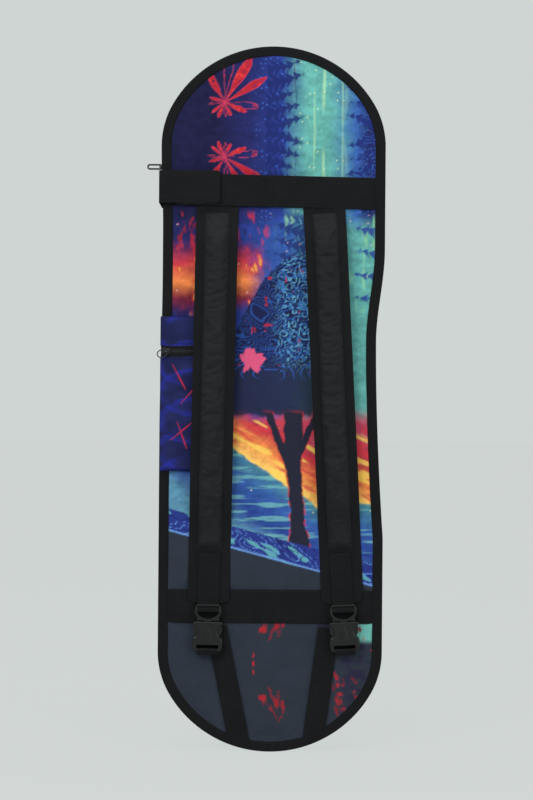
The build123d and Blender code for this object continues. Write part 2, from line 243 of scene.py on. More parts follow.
def brush_leaves(colours, x, y, at, reach, count, seed):
    """A loose cluster of dark red brush strokes."""
    rng = np.random.default_rng(seed)
    warp = 2.5 * layered_noise(x / 8, y / 8, seed)
    patchy = layered_noise(x / 5, y / 5, seed + 1)
    for _ in range(count):
        start = np.array(at) + rng.uniform(-1, 1, 2) * reach
        angle, length = rng.uniform(50, 130), rng.uniform(14, 26)
        inner, _ = petal(x + warp, y - warp, start, angle, length, rng.uniform(1.0, 2.4))
        colours = lay(colours, inner * smooth(-0.3, 0.25, patchy) * 0.85, (rng.uniform(120, 200), 34, 44))
    return colours


def pine(colours, x, y, at, height, lean, rgb):
    """A pine bough drawn in loose strokes: a stem with drooping fingers."""
    c, s = math.cos(math.radians(lean)), math.sin(math.radians(lean))
    bend = 3 * layered_noise(x / 15, y / 15, 33)
    along = (x - at[0]) * c + (y - at[1]) * s + bend
    across = -(x - at[0]) * s + (y - at[1]) * c + bend
    rough = layered_noise(x / 3, y / 3, 31) * 2.2
    tip = np.clip(1 - along / height, 0, 1)
    finger = np.abs(((along + np.abs(across) * 0.8) / 8) % 1 - 0.5) * 2
    reach = height * 0.34 * tip**0.7 * (0.15 + 0.85 * finger)
    mask = smooth(1.2, -1.2, np.abs(across) + rough - reach) * (along > -6) * (tip > 0)
    return lay(colours, mask * 0.9, rgb)


def streaks(colours, x, y, window, rgb, spacing, strength, seed):
    """Upright shafts of light or thin trunks."""
    shafts = layered_noise(x / spacing, y / (spacing * 12), seed, 3)
    return lay(colours, smooth(0.2, 0.5, shafts) * window * strength, rgb)


def contours(x, y, scale, count, thin, seed):
    """Curling lines at even levels of a noise field, as a mask."""
    level = layered_noise(x / scale, y / scale, seed, 2) * count
    return smooth(thin, thin * 0.3, np.abs(level - np.round(level)))


def sparkles(colours, x, y, window, rgb, cell, share, seed):
    """Small round lights scattered one to a cell."""
    rng = np.random.default_rng(seed)
    at, on = rng.random((2, 64, 64)), rng.random((64, 64)) < share
    i, j = (np.floor(x / cell).astype(int) % 64), (np.floor(y / cell).astype(int) % 64)
    dx = (x / cell) % 1 - 0.2 - 0.6 * at[0, i, j]
    dy = (y / cell) % 1 - 0.2 - 0.6 * at[1, i, j]
    glow = smooth(1.3 / cell, 0.3 / cell, np.hypot(dx, dy)) * on[i, j]
    return lay(colours, glow * window * 0.8, rgb)


def forest(colours, x, y):
    """The upper scene: pine boughs, light shafts and red leaves, mirrored about one height."""
    high = smooth(196, 222, y)
    ym = MIRROR_UP + np.abs(y - MIRROR_UP)
    clearing = smooth(20, 36, x) * smooth(92, 78, x)
    trees = streaks(colours, x, ym, smooth(-20, 0, x) * smooth(40, 25, x), (26, 34, 96), 4, 0.7, 71)
    trees = streaks(trees, x, ym, clearing, (176, 222, 170), 6, 0.5, 73)
    glimmer = smooth(-30, -10, x) * smooth(30, 10, x)
    trees = sparkles(trees, x, ym, glimmer, (70, 120, 220), 6, 0.5, 9)
    for k in range(5):
        up = MIRROR_UP + 4 + 17 * k
        trees = pine(trees, x, ym, (-2, up), 40 - 5 * (k % 3), 18, (28, 40, 102))
        trees = pine(trees, x, ym, (122, up + 5), 36 - 5 * (k % 2), 164, (30, 44, 112))
    trees = lay(trees, contours(x, ym, 26, 7, 0.09, 47) * smooth(92, 100, x) * 0.6, (70, 120, 205))
    trees = sparkles(trees, x, ym, clearing, (220, 240, 170), 9, 0.3, 5)
    trees = leaf_fan(trees, x, ym, (-59, 352), 62, 3)
    return colours * (1 - high[:, None]) + trees * high[:, None]


def glade(colours, x, y):
    """The scene below the band: more pines at the right, red and yellow at the left."""
    window = smooth(96, 110, y) * smooth(226, 214, y)
    cool = smooth(-5, 12, x) * window
    painted = streaks(colours, x, y, window, (150, 210, 150), 4, 0.5, 11)
    for k in range(4):
        painted = pine(painted, x, y, (124, 118 + 27 * k), 26, 168, (38, 60, 140))
        painted = pine(painted, x, y, (40, 160 + 18 * k), 40, 160, (34, 52, 112))
    colours = colours * (1 - cool[:, None]) + painted * cool[:, None]
    warm = smooth(2, -14, x) * window
    flame = layered_noise(x / 7 + y / 40, y / 22, 17)
    colours = lay(colours, warm * smooth(0.2, 0.45, flame) * 0.7, (205, 48, 58))
    colours = lay(colours, warm * smooth(0.35, 0.6, flame) * smooth(180, 150, y), (245, 185, 70))
    cold = warm * smooth(0.25, 0.5, -flame) * smooth(150, 190, y)
    colours = lay(colours, cold * 0.7, (28, 34, 88))
    colours = brush_leaves(colours, x, y, (-106, 188), (8, 14), 6, 27)
    return sparkles(colours, x, y, window, (225, 190, 190), 12, 0.2, 23)


def thicket(colours, x, y):
    """The dark middle: a broad crown of night-blue growth with curling lines."""
    wobble = 8 * layered_noise(x / 22, y / 22, 2)
    body = smooth(3, -3, np.abs(x - 2 + wobble) - 80)
    crest = 170 - 0.016 * (x - 32) ** 2 + 7 * layered_noise(x / 12, y / 12, 8)
    foot = -20 + 5 * layered_noise(x / 10, y / 10, 4)
    mass = body * smooth(2, -2, y - crest) * smooth(-3, 3, y - foot)
    upper = mass * smooth(25, 60, y)
    colours = lay(colours, mass * 0.92, (34, 38, 60))
    colours = lay(colours, upper * 0.85, (24, 30, 72))
    colours = lay(colours, upper * contours(x + 0.5 * y, y, 34, 11, 0.2, 41) * 0.7, (42, 84, 160))
    fine = upper * smooth(-5, 18, x)
    colours = lay(colours, fine * contours(x, y, 19, 4, 0.2, 57) * 0.75, (60, 122, 186))
    colours = lay(colours, fine * contours(x, y, 13, 3, 0.11, 59) * 0.75, (112, 182, 212))
    arcs = mass * contours(x * 0.3, y, 30, 7, 0.08, 43) * smooth(75, 45, y) * smooth(20, 32, y)
    colours = lay(colours, arcs * 0.8, (52, 96, 190))
    embers = upper * smooth(0.5, 0.6, layered_noise(x / 8, y / 8, 90))
    colours = lay(colours, embers * 0.9, (180, 40, 56))
    turn = np.arctan2(y - 44, x + 27)
    ragged = 12 + 9 * layered_noise(turn * 2.2 + 9, 0 * turn, 49) + 5 * np.cos(turn - 0.6)
    patch = smooth(0.7, -0.7, np.hypot(x + 27, (y - 44) * 0.9) - ragged)
    return lay(colours, patch, (214, 84, 124))


def sunset(colours, x, y):
    """Crimson and yellow sky over teal water, a dark forked trunk standing across it."""
    edge = shore(x)
    foot = wave_foot(x)
    sky = smooth(-24, -27, y) * smooth(edge - 0.8, edge + 0.8, y)
    rays = layered_noise((x * 0.5 + y) / 6, (x - y) / 50, 19)
    colours = lay(colours, sky * smooth(0.1, 0.35, rays) * 0.75, (250, 212, 95))
    colours = lay(colours, sky * smooth(0.12, 0.4, -rays) * 0.7, (205, 56, 66))
    water = smooth(edge + 0.8, edge - 0.8, y) * smooth(foot, foot + 30, y)
    left = smooth(-70, -80, x)
    ripples = layered_noise(x / 45, y / 3.2, 29)
    colours = lay(colours, water * (1 - left) * smooth(0.1, 0.4, ripples) * 0.5, (130, 205, 195))
    colours = lay(colours, water * (1 - left) * smooth(0.1, 0.4, -ripples) * 0.4, (45, 90, 150))
    colours = sparkles(colours, x, y, water * (1 - left), (235, 245, 200), 14, 0.15, 61)
    rough = 2 * layered_noise(x / 5, y / 7, 12)
    girth = 11 - 3 * smooth(-40, -110, y) + 7 * smooth(-150, -182, y)
    trunk = np.abs(x - 26 - 7 * smooth(-60, -170, y)) - girth
    left_fork = np.abs(x + 2 + 0.38 * (y + 20)) - 5
    right_fork = np.abs(x - 52 - 0.42 * (y + 20)) - 4
    forks = np.where(y > -84, np.minimum(left_fork, right_fork), 99)
    away = np.minimum(trunk, forks) - rough
    inside = smooth(-12, -18, y) * smooth(-182, -176, y)
    rim = smooth(0.8, -0.8, away - 1.6) * inside
    colours = lay(colours, rim * smooth(-0.2, 0.2, rays) * 0.8, (200, 45, 50))
    return lay(colours, smooth(0.8, -0.8, away) * inside, (36, 38, 54))


def wave_foot(x):
    """Height of the lower edge of the slanted wave band, in millimetres."""
    return -158 - 0.265 * (x + 121)


def wave_band(colours, x, y):
    """The slanted band of blue and mint waves, and the plain slate under it."""
    above = y - wave_foot(x)
    inside = smooth(-0.8, 0.8, above) * smooth(27, 26, above)
    cloudy = 1 + 0.12 * layered_noise(x / 30, y / 30, 35)
    slate = smooth(0.5, -0.5, above)[:, None]
    colours = colours * (1 - slate) + linear(SLATE) * cloudy[:, None] * slate
    colours = lay(colours, inside, (42, 56, 132))
    curl = layered_noise((x + 1.5 * above) / 18, above / 12, 37, 2)
    colours = lay(colours, inside * smooth(0.15, 0.22, curl), (92, 160, 172))
    dark_lines = contours(x + 1.5 * above, above * 1.4, 32, 4, 0.12, 67)
    light_lines = contours(x + above, above * 1.8, 36, 4, 0.09, 68)
    colours = lay(colours, inside * dark_lines * 0.8, (26, 34, 96))
    colours = lay(colours, inside * light_lines * 0.8, (98, 148, 220))
    light = smooth(1.5, 0.4, np.abs(above - 1.2))
    return lay(colours, light * 0.85, (112, 158, 222))


# clusters of strokes: middle and half size in millimetres, number of strokes
UNDERGROWTH = (((4, -374), (12, 14), 11), ((-22, -328), (5, 9), 5), ((98, -366), (16, 24), 15))


def undergrowth(colours, x, y):
    """Below the wave band: slate cloth with dark red strokes, mirrored about one height."""
    low = smooth(-262, -268, y)
    ym = LOW_MIRROR_UP - np.abs(y - LOW_MIRROR_UP)
    corner = smooth(98, 104, x + 0.4 * (y + 290)) * smooth(-292, -284, y)
    leaves = lay(colours, corner * 0.9, (110, 185, 175))
    shade = smooth(60, 100, x + 0.3 * (y + 330)) * smooth(-0.2, 0.4, layered_noise(x / 9, y / 6, 52))
    leaves = lay(leaves, shade * (1 - corner) * 0.6, (38, 28, 62))
    for k, (at, reach, count) in enumerate(UNDERGROWTH):
        leaves = brush_leaves(leaves, x, ym, at, reach, count, 14 + k)
    return colours * (1 - low[:, None]) + leaves * low[:, None]


def print_colour(x, up):
    """The printed cloth's colour at each point: a neon night forest over water."""
    x, y = np.asarray(x) / MM, np.asarray(up) / MM
    drift = 6 * layered_noise(x / 18, y / 18, 1)
    lift = 6 * layered_noise(x / 18, y / 18, 6)
    high = smooth(196, 222, y)[:, None]
    colours = ramp(x + drift, FOREST_ACROSS) * high + lower_ground(x + drift, y + lift) * (1 - high)
    brush = 1 + 0.3 * layered_noise(x / 9, y / 5, 13) + 0.2 * layered_noise(x / 2.5, y / 2.5, 15)
    colours = colours * brush[:, None]
    for scene in (forest, glade, thicket, sunset, wave_band, undergrowth):
        colours = scene(colours, x, y)
    return np.clip(colours, 0, 1)


def pocket_colour(x, up):
    """The pocket's print: indigo with royal-blue arcs and thin red lines."""
    x, y = np.asarray(x) / MM, np.asarray(up) / MM
    tone = layered_noise(x / 20, y / 12, 81)
    colours = linear((31, 36, 80)) * (1 + 0.5 * tone)[:, None]
    for k in range(6):
        arc = np.hypot(x + 90, (y + 95 + 34 * k - 170) * 1.6) - 46
        band = smooth(14, 0, -arc) * smooth(0.8, -0.8, arc)
        colours = lay(colours, band * 0.75 * smooth(-0.5, 0.4, tone), (38, 44, 150))
    for at, lean in (((-118, 40), -62), ((-108, -6), 48), ((-112, -28), -70), ((-120, -50), 40)):
        inner, _ = petal(x, y, at, lean, 34, 0.5)
        colours = lay(colours, inner, (190, 40, 60))
    return np.clip(colours, 0, 1)


# ---------------------------------------------------------------- outlines and meshes


def resample(points, step):
    """The same polyline with its points an even distance apart."""
    points = np.asarray(points, float)
    run = np.r_[0, np.cumsum(np.linalg.norm(np.diff(points, axis=0), axis=1))]
    at = np.linspace(0, run[-1], max(2, int(round(run[-1] / step)) + 1))
    return np.stack([np.interp(at, run, points[:, k]) for k in range(points.shape[1])], 1)


def half_outline(inset, step):
    """Right half of the bag's outline from bottom to top as (half width, up): two arcs at each end."""
    half, rise, r = HALF - inset, RISE - inset, SHOULDER - inset
    crown = ((half - r) ** 2 + rise**2 - r**2) / (2 * (rise - r))
    turn = math.atan2(crown - rise, half - r)
    a = np.linspace(0, turn, 40)
    b = np.linspace(turn, math.pi / 2, 40)
    shoulder = np.stack([half - r + r * np.cos(a), SPRING + r * np.sin(a)], 1)
    arch = np.stack([crown * np.cos(b), SPRING + rise - crown + crown * np.sin(b)], 1)
    end = np.r_[shoulder, arch[1:]]
    return resample(np.r_[end[::-1] * (1, -1), end], step)


def waist(up):
    """How far the right side is drawn in at a height."""
    above = smooth(WAIST_PEAK + WAIST_ABOVE, WAIST_PEAK, up)
    below = np.sqrt(smooth(WAIST_PEAK - WAIST_BELOW, WAIST_PEAK, up))
    return WAIST * np.where(up > WAIST_PEAK, above, below)


def sway(up):
    """How far the left side is drawn in at a height."""
    return SWAY * smooth(-40 * MM, 150 * MM, up) * smooth(300 * MM, 200 * MM, up)


def loop_outline(inset, step):
    """The whole outline, bottom to top on the right and back down on the left, as (x, up)."""
    right = half_outline(inset, step)
    left = right[::-1] * (-1, 1)
    left = left + np.stack([sway(left[:, 1]), 0 * left[:, 1]], 1)
    right = right - np.stack([waist(right[:, 1]), 0 * right[:, 1]], 1)
    return np.r_[right, left[1:-1]]


def inward(points):
    """Unit normals that point into a loop, for a loop that runs anticlockwise."""
    t = np.roll(points, -1, 0) - np.roll(points, 1, 0)
    t /= np.linalg.norm(t, axis=1)[:, None] + 1e-12
    return np.stack([-t[:, 1], t[:, 0]], 1)


def world(x, up, out):
    """Points in the frame from distances across, up and out."""
    x, up, out = np.broadcast_arrays(x, up, out)
    return np.stack([x, -out, up], -1)


def grid_faces(rows, columns, wrap_rows=False, wrap_columns=False):
    """Quads over a grid of points that is stored row by row."""
    i = np.arange(rows if wrap_rows else rows - 1)[:, None]
    j = np.arange(columns if wrap_columns else columns - 1)[None, :]
    i1, j1 = (i + 1) % rows, (j + 1) % columns
    quads = [i * columns + j, i * columns + j1, i1 * columns + j1, i1 * columns + j]
    return np.stack([np.broadcast_to(q, (i.size, j.size)) for q in quads], -1).reshape(-1, 4)


def add_mesh(name, points, faces, uv=None, caps=()):
    """A smooth mesh object from points, quads and a map in metres."""
    mesh = bpy.data.meshes.new(name)
    rows = [list(map(int, f)) for f in faces] + [list(map(int, c)) for c in caps]
    mesh.from_pydata([tuple(p) for p in np.reshape(points, (-1, 3))], [], rows)
    if uv is not None:
        layer = mesh.uv_layers.new(name="metres")
        corner = np.zeros(len(mesh.loops), int)
        mesh.loops.foreach_get("vertex_index", corner)
        layer.data.foreach_set("uv", np.reshape(uv, (-1, 2))[corner].ravel())
    mesh.polygons.foreach_set("use_smooth", [True] * len(mesh.polygons))
    obj = bpy.data.objects.new(name, mesh)
    bpy.context.scene.collection.objects.link(obj)
    return obj


def sheet_of(name, points, uv):
    """A grid of points as one surface."""
    rows, columns = points.shape[:2]
    return add_mesh(name, points, grid_faces(rows, columns), uv)


def run_length(points):
    """Distance along a line of points."""
    step = np.linalg.norm(np.diff(points, axis=0), axis=1)
    return np.r_[0, np.cumsum(step)]


def sweep(name, path, across, lift, section, closed=False):
    """A section of (across, lift) points carried along a path, capped if the path is open."""
    ring = path[:, None] + section[None, :, :1] * across[:, None] + section[None, :, 1:] * lift[:, None]
    n, m = ring.shape[:2]
    round_it = run_length(np.r_[section, section[:1]])[:-1]
    uv = np.stack(np.broadcast_arrays(run_length(path)[:, None], round_it[None, :]), -1)
    caps = [] if closed else [range(m)[::-1], range((n - 1) * m, n * m)]
    return add_mesh(name, ring, grid_faces(n, m, closed, True), uv, caps)


def tape_section(width, thickness, columns=10):
    """A flat strip's section with round edges."""
    r = thickness / 2
    x = np.linspace(-width / 2 + r, width / 2 - r, columns)
    a = np.linspace(-math.pi / 2, math.pi / 2, 5)[1:-1]
    right = np.stack([width / 2 - r + r * np.cos(a), r * np.sin(a)], 1)
    low = np.stack([x, np.full(columns, -r)], 1)
    return np.r_[low, right, low[::-1] * (1, -1), right[::-1] * (-1, 1)]


def finish_piece(obj, material, body=None, replaces=()):
    """Gives a piece its material, its body and the CAD nodes that it stands for."""
    obj.data.materials.clear()
    obj.data.materials.append(MATERIALS[material])
    if body:
        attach(obj, body)
    if replaces:
        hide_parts(*replaces)
    return obj


def strip(name, path, across, lift, width, thickness, material, body, replaces=()):
    """A piece of webbing or tape along a path."""
    path = np.asarray(path, float)
    across = np.broadcast_to(np.asarray(across, float), path.shape)
    lift = np.broadcast_to(np.asarray(lift, float), path.shape)
    obj = sweep(name, path, across, lift, tape_section(width, thickness))
    return finish_piece(obj, material, body, replaces)


def stitches(name, path, lift, body, pitch=3.4 * MM, length=2.6 * MM, thick=0.28 * MM):
    """A row of thread stitches along a path, lying on its surface."""
    path = resample(path, pitch)
    lift = np.asarray(lift, float)
    along = path[1:] - path[:-1]
    along /= np.linalg.norm(along, axis=1)[:, None] + 1e-12
    side = np.cross(along, lift)
    side /= np.linalg.norm(side, axis=1)[:, None] + 1e-12
    middle = (path[1:] + path[:-1]) / 2
    stations = ((-0.5, 0.3, -0.5), (-0.3, 1, 0.2), (0.3, 1, 0.2), (0.5, 0.3, -0.5))
    a = np.arange(6) * math.pi / 3
    rings = []
    for s, r, up in stations:
        centre = middle + along * s * length + lift * up * thick
        ring = np.cos(a)[None, :, None] * side[:, None] + np.sin(a)[None, :, None] * lift
        rings.append(centre[:, None] + ring * r * thick)
    points = np.stack(rings, 1)
    count = len(middle)
    one = grid_faces(len(stations), 6, False, True)
    block = len(stations) * 6
    faces = (one[None] + np.arange(count)[:, None, None] * block).reshape(-1, 4)
    obj = add_mesh(name, points.reshape(-1, 3), faces)
    return finish_piece(obj, "thread", body)


# ---------------------------------------------------------------- materials


class Tree:
    """Adds nodes to one material with short calls."""

    def __init__(self, name):
        self.material = bpy.data.materials.new(name)
        self.material.use_nodes = True
        self.nodes = self.material.node_tree.nodes
        self.links = self.material.node_tree.links
        self.surface = self.nodes["Principled BSDF"]

    def add(self, kind, inputs=None, **settings):
        """A node with its settings, and its inputs by name or number: a value or another output."""
        node = self.nodes.new(kind)
        for key, value in settings.items():
            setattr(node, key, value)
        for key, value in (inputs or {}).items():
            self.feed(node.inputs[key], value)
        return node

    def feed(self, socket, value):
        """Links an output to a socket or sets the socket's value."""
        if isinstance(value, bpy.types.NodeSocket):
            self.links.new(value, socket)
        else:
            socket.default_value = value

    def math(self, operation, a, b=0.0):
        """One arithmetic step."""
        return self.add("ShaderNodeMath", {0: a, 1: b}, operation=operation).outputs[0]

    def noise(self, scale, detail=3.0, where=None):
        """Fractal noise, from 0 to 1, at a scale in features per metre."""
        place = where or self.add("ShaderNodeTexCoord").outputs["Object"]
        inputs = {"Vector": place, "Scale": scale, "Detail": detail, "Roughness": 0.55}
        return self.add("ShaderNodeTexNoise", inputs).outputs[0]

    def range(self, value, low, high):
        """A value from 0 to 1 stretched to run from low to high."""
        inputs = {"Value": value, "To Min": low, "To Max": high}
        return self.add("ShaderNodeMapRange", inputs).outputs[0]

    def shade(self, colour, factor):
        """A colour made lighter or darker by a factor."""
        inputs = {"Color": colour, "Value": factor}
        return self.add("ShaderNodeHueSaturation", inputs).outputs[0]

    def bump(self, height, distance, normal=None):
        """Relief of a height field."""
        inputs = {"Height": height, "Distance": distance, "Strength": 1.0}
        if normal is not None:
            inputs["Normal"] = normal
        return self.add("ShaderNodeBump", inputs).outputs[0]

    def set(self, **values):
        """Sets or links inputs of the surface, with _ for a space."""
        for key, value in values.items():
            self.feed(self.surface.inputs[key.replace("_", " ")], value)


def grey(level, tint=(0.95, 1, 1.1)):
    """A near-black as linear colour from an sRGB level."""
    return (*(linear((level,) * 3) * tint), 1)


def weave_height(t, pitch, pattern):
    """Height of a weave over the map: plain, rib, twill or mesh."""
    place = t.add("ShaderNodeUVMap", uv_map="metres").outputs[0]
    parts = t.add("ShaderNodeSeparateXYZ", {0: place})
    turn = 2 * math.pi / pitch
    u = t.math("MULTIPLY", parts.outputs[0], turn)
    v = t.math("MULTIPLY", parts.outputs[1], turn)
    if pattern == "rib":
        fine = t.math("MULTIPLY", t.math("SINE", t.math("MULTIPLY", v, 0.7)), 0.25)
        return t.math("ADD", t.math("ABSOLUTE", t.math("SINE", t.math("MULTIPLY", u, 0.5))), fine)
    if pattern == "twill":
        fold = t.math("PINGPONG", t.math("MULTIPLY", parts.outputs[1], turn), 9.42)
        return t.math("SINE", t.math("ADD", u, fold))
    product = t.math("MULTIPLY", t.math("SINE", u), t.math("SINE", v))
    if pattern == "mesh":
        return t.math("GREATER_THAN", t.math("ABSOLUTE", product), 0.35)
    return product


def cloth_material(
    name, colour, pitch, pattern="plain", relief=0.12, rough=0.85, sheen=0.02, wear=0.3, weave_shade_depth=0.11
):
    """Woven cloth: a weave in relief (millimetres) with painted shade in the grooves between its threads and
    painted light on their crowns, uneven dye, soft creases and a little lint.
    """
    t = Tree(name)
    weave = weave_height(t, pitch, pattern)
    uneven = t.noise(38, 4)
    fine = t.noise(420, 3)
    tone = t.range(t.math("ADD", uneven, t.math("MULTIPLY", fine, 0.5)), 1 - wear, 1 + wear)
    # painted shade and light: the colour follows the weave's height, darker in its grooves and lighter on its
    # crowns
    weave_shade = t.range(weave, 1 - weave_shade_depth, 1 + weave_shade_depth)
    base = t.shade(colour, t.math("MULTIPLY", tone, weave_shade))
    normal = t.bump(weave, relief * MM)
    normal = t.bump(t.noise(55, 2), 1.2 * MM, normal)
    t.set(Base_Color=base, Roughness=t.range(fine, rough - 0.1, rough + 0.1), Normal=normal)
    t.set(Sheen_Weight=sheen, Sheen_Roughness=0.5, Specular_IOR_Level=0.1)
    return t


def printed_material():
    """The panels' printed polyester, coloured by the print stored on the mesh."""
    t = cloth_material("printed_cloth", (1, 1, 1, 1), 0.9 * MM, relief=0.05, rough=0.8, sheen=0.0, wear=0.06)
    ink = t.add("ShaderNodeAttribute", attribute_name="print").outputs["Color"]
    # the ink goes into the node that darkens it by the random tone and by the painted weave shade
    tone = t.surface.inputs["Base Color"].links[0].from_node
    t.feed(tone.inputs["Color"], ink)
    return t.material


def plastic_material():
    """Glossy black moulded plastic with softened edges, moulding grain and fine scuffs."""
    t = Tree("buckle_plastic")
    scuff = t.noise(900, 5)
    cloud = t.noise(60, 3)
    normal = t.add("ShaderNodeBevel", {"Radius": 0.5 * MM}, samples=6).outputs[0]
    normal = t.bump(scuff, 0.03 * MM, normal)
    t.set(Base_Color=t.shade(grey(13), t.range(cloud, 0.8, 1.3)), Normal=normal)
    t.set(Roughness=t.range(t.math("MULTIPLY", scuff, cloud), 0.12, 0.36), Specular_IOR_Level=0.35)
    return t.material


def metal_material():
    """Black enamelled zinc, worn to bare metal on its edges."""
    t = Tree("black_metal")
    edge = t.add("ShaderNodeNewGeometry").outputs["Pointiness"]
    chips = t.math("MULTIPLY", t.noise(700, 4), t.range(edge, 0.6, 1.4))
    bare = t.math("GREATER_THAN", chips, 0.74)
    paint = {0: bare, 6: grey(30), 7: (0.32, 0.32, 0.34, 1)}
    colour = t.add("ShaderNodeMix", paint, data_type="RGBA").outputs[2]
    normal = t.add("ShaderNodeBevel", {"Radius": 0.35 * MM}, samples=6).outputs[0]
    t.set(Base_Color=colour, Metallic=t.range(bare, 0.35, 1.0))
    t.set(Normal=t.bump(t.noise(600), 0.03 * MM, normal))
    t.set(Roughness=t.range(t.noise(300), 0.25, 0.5))
    return t.material


def coil_material():
    """Dyed nylon monofilament of the zip's coil."""
    t = Tree("zip_coil")
    t.set(Base_Color=t.shade(grey(30), t.range(t.noise(500), 0.7, 1.4)))
    t.set(Roughness=t.range(t.noise(900), 0.3, 0.5), Normal=t.bump(t.noise(1500), 0.02 * MM))
    return t.material


def fuzzy_material():
    """Hook and loop tape: a dense matte pile."""
    t = Tree("hook_and_loop")
    pile = t.noise(1400, 5)
    t.set(Base_Color=t.shade(grey(30), t.range(pile, 0.4, 1.7)), Roughness=t.range(pile, 0.85, 1.0))
    t.set(Normal=t.bump(pile, 0.6 * MM), Sheen_Weight=0.5)
    return t.material


def make_materials():
    """Every material of the bag by name."""
    cloths = {
        "black_cloth": dict(colour=grey(24), pitch=1.1 * MM),
        "binding_tape": dict(colour=grey(18), pitch=1.3 * MM, pattern="rib", relief=0.18),
        "webbing": dict(colour=grey(17), pitch=2.4 * MM, pattern="rib", relief=0.3, wear=0.4, weave_shade_depth=0.35),
        "strap_cloth": dict(colour=grey(24), pitch=0.8 * MM, relief=0.05, rough=0.5, sheen=0.06),
        "strap_border": dict(colour=grey(21), pitch=1.0 * MM, relief=0.12),
        "strap_mesh": dict(colour=grey(26), pitch=3.2 * MM, pattern="mesh", relief=0.5),
        "zip_tape": dict(colour=grey(20), pitch=0.9 * MM, pattern="rib", relief=0.1),
        "thread": dict(colour=grey(30), pitch=0.6 * MM, pattern="rib", relief=0.05),
    }
    made = {name: cloth_material(name, **values).material for name, values in cloths.items()}
    made["printed_cloth"] = printed_material()
    made["buckle_plastic"] = plastic_material()
    made["black_metal"] = metal_material()
    made["zip_coil"] = coil_material()
    made["hook_and_loop"] = fuzzy_material()
    return made


SLOTS = {
    name: name
    for name in (
        "printed_cloth", "black_cloth", "binding_tape", "webbing", "strap_cloth", "strap_mesh",
        "hook_and_loop", "zip_tape", "zip_coil", "black_metal", "buckle_plastic",
    )
}  # fmt: skip
SLOTS["strap_border"] = "strap_cloth"
MATERIALS = make_materials()


# ---------------------------------------------------------------- cloth


def settle(obj, pinned, growth, pressure, cap, frames=20):
    """Lets cloth that is cut a little too large settle under pressure, held where it is sewn."""
    before = np.zeros(len(obj.data.vertices) * 3)
    obj.data.vertices.foreach_get("co", before)
    group = obj.vertex_groups.new(name="sewn")
    group.add([int(i) for i in np.flatnonzero(pinned)], 1.0, "REPLACE")
    cloth = obj.modifiers.new("cloth", "CLOTH")
    s = cloth.settings
    s.quality = 6
    s.mass = 0.15
    s.tension_stiffness = s.compression_stiffness = 12
    s.shear_stiffness = 6
    s.bending_stiffness = 0.3
    s.vertex_group_mass = "sewn"
    s.shrink_min = s.shrink_max = -growth
    s.use_pressure = True
    s.uniform_pressure_force = pressure
    s.effector_weights.gravity = 0
    cloth.point_cache.frame_start, cloth.point_cache.frame_end = 1, frames
    scene = bpy.context.scene
    for f in range(1, frames + 1):
        scene.frame_set(f)
    evaluated = obj.evaluated_get(bpy.context.evaluated_depsgraph_get())
    after = np.zeros_like(before)
    evaluated.data.vertices.foreach_get("co", after)
    obj.modifiers.remove(cloth)
    obj.vertex_groups.clear()
    scene.frame_set(1)
    move = (after - before).reshape(-1, 3)
    far = np.linalg.norm(move, axis=1)[:, None]
    move *= np.minimum(1, cap / (far + 1e-9))
    obj.data.vertices.foreach_set("co", (before.reshape(-1, 3) + move).ravel())
    obj.data.update()


def subdivide(obj, levels):
    """Smooths the mesh for good, with more points."""
    soft = obj.modifiers.new("smooth", "SUBSURF")
    soft.levels = soft.render_levels = levels
    dense = bpy.data.meshes.new_from_object(obj.evaluated_get(bpy.context.evaluated_depsgraph_get()))
    obj.modifiers.remove(soft)
    old, obj.data = obj.data, dense
    bpy.data.meshes.remove(old)


def paint(obj, colour):
    """Stores a printed colour on every point of a mesh."""
    co = np.zeros(len(obj.data.vertices) * 3)
    obj.data.vertices.foreach_get("co", co)
    co = co.reshape(-1, 3)
    rgba = np.ones((len(co), 4), np.float32)
    rgba[:, :3] = colour(co[:, 0], co[:, 2])
    layer = obj.data.attributes.new("print", "FLOAT_COLOR", "POINT")
    layer.data.foreach_set("color", rgba.ravel())


# ---------------------------------------------------------------- shell


def panel_grid(inset, step, columns):
    """(x, up, distance in from the edge) over a panel, row by row."""
    edge = half_outline(inset, step)[1:-1]
    w, up = edge[:, :1], edge[:, 1:]
    t = np.linspace(0, 1, columns)[None, :]
    left, right = sway(up) - w, w - waist(up)
    x = left * (1 - t) + right * t
    side = np.minimum(x - left, right - x)
    fine = half_outline(inset, step / 2)
    ends = np.interp(np.abs(x), fine[len(fine) // 2 :, 0][::-1], fine[len(fine) // 2 :, 1][::-1])
    return x, up + 0 * x, np.minimum(side, ends - np.abs(up))


def webbing_line(side):
    """Foot and top of a lower webbing's middle line, as (x, up)."""
    left, right, low, high, _, _ = span(f"{side}_lower_webbing")
    edge = WEB_W / 2
    foot, top = (right - edge, left + edge) if side == "left" else (left + edge, right - edge)
    return np.array([foot, low]), np.array([top, high])


def pressed(x, up):
    """Distances from each band and lower webbing that holds the front panel down."""
    near = [np.maximum(low - up, up - high) for low, high in ((BAND_LOW, BAND_HIGH), (LOWER_LOW, LOWER_HIGH))]
    for side in STRAPS:
        foot, top = webbing_line(side)
        run = top - foot
        t = np.clip(((x - foot[0]) * run[0] + (up - foot[1]) * run[1]) / (run @ run), 0, 1)
        away = np.hypot(x - foot[0] - t * run[0], up - foot[1] - t * run[1])
        near.append(away - WEB_W / 2)
    return near


